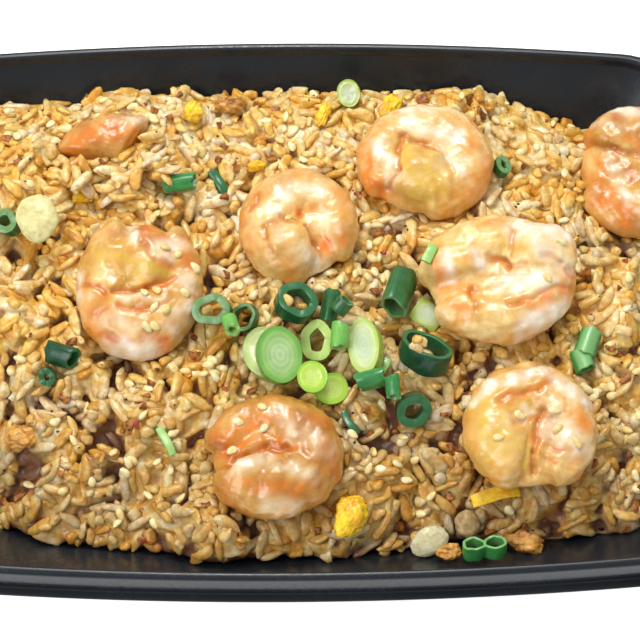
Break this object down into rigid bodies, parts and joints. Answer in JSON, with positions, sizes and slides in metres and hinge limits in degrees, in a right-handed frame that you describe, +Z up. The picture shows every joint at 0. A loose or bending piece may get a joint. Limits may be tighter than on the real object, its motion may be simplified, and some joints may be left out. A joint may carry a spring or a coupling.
{
  "type": "fried rice in a takeaway tray",
  "caption": "Fried rice heaped in a rectangular black takeaway tray, topped with curled shrimp, chopped scallions, egg, garlic and sesame seeds.",
  "frame": {"origin": "middle of the tray's underside, on the surface that the tray stands on", "axes": "+X along the long sides of the tray, +Y towards its back long side, +Z up"},
  "size_m": [0.226, 0.1586, 0.0609],
  "materials": {
    "black_plastic": "glossy black thermoformed plastic",
    "cooked_rice": "moist, lightly oiled grains",
    "shrimp_meat": "wet, glossy",
    "green_scallion": "moist, satin",
    "lime_scallion": "moist, satin",
    "pale_scallion": "moist, satin",
    "cooked_egg": "soft, satin",
    "browned_egg": "fried, satin",
    "pale_vegetable": "moist, satin"
  },
  "bodies": {
    "root": {"tray": "black_plastic", "shrimp_left": "shrimp_meat", "shrimp_back_left": "shrimp_meat", "shrimp_back": "shrimp_meat", "shrimp_right": "shrimp_meat", "shrimp_front_right": "shrimp_meat", "shrimp_front": "shrimp_meat", "shrimp_corner": "shrimp_meat", "shrimp_buried": "shrimp_meat", "scallion_slice_under": "pale_scallion", "scallion_slice_large": "lime_scallion", "scallion_petal_front": "lime_scallion", "scallion_petal_middle": "lime_scallion", "scallion_petal_back": "lime_scallion", "scallion_ring_left": "green_scallion", "scallion_ring_thin": "green_scallion", "scallion_tube_light": "lime_scallion", "scallion_curl_dark": "green_scallion", "scallion_tube_middle": "green_scallion", "scallion_tube_short": "green_scallion", "scallion_tube_behind": "lime_scallion", "scallion_slice_oval": "pale_scallion", "scallion_tube_wide": "green_scallion", "scallion_sheet_pale": "pale_scallion", "scallion_strip_back": "green_scallion", "scallion_tube_open": "green_scallion", "scallion_ring_dark": "green_scallion", "scallion_tube_low": "green_scallion", "scallion_tube_side": "green_scallion", "scallion_strip_bright": "lime_scallion", "scallion_strip_front": "green_scallion", "scallion_tube_flat": "green_scallion", "scallion_strip_dark": "green_scallion", "scallion_ring_edge": "green_scallion", "scallion_tube_left": "green_scallion", "scallion_ring_small": "green_scallion", "scallion_strip_hooked": "green_scallion", "scallion_ring_back": "green_scallion", "scallion_slice_back": "pale_scallion", "scallion_curl_front": "green_scallion", "scallion_tube_folded": "green_scallion", "scallion_strip_lime": "lime_scallion", "egg_front": "cooked_egg", "egg_left": "cooked_egg", "egg_back_left": "cooked_egg", "egg_small": "cooked_egg", "egg_strip": "cooked_egg", "egg_back": "cooked_egg", "egg_browned_back": "browned_egg", "egg_browned_left": "browned_egg", "egg_browned_front": "browned_egg", "egg_flap": "cooked_egg", "egg_edge": "browned_egg", "garlic_slice": "pale_vegetable", "onion_piece": "pale_vegetable", "cabbage_piece": "pale_vegetable", "rice": "cooked_rice"}
  },
  "joints": []
}
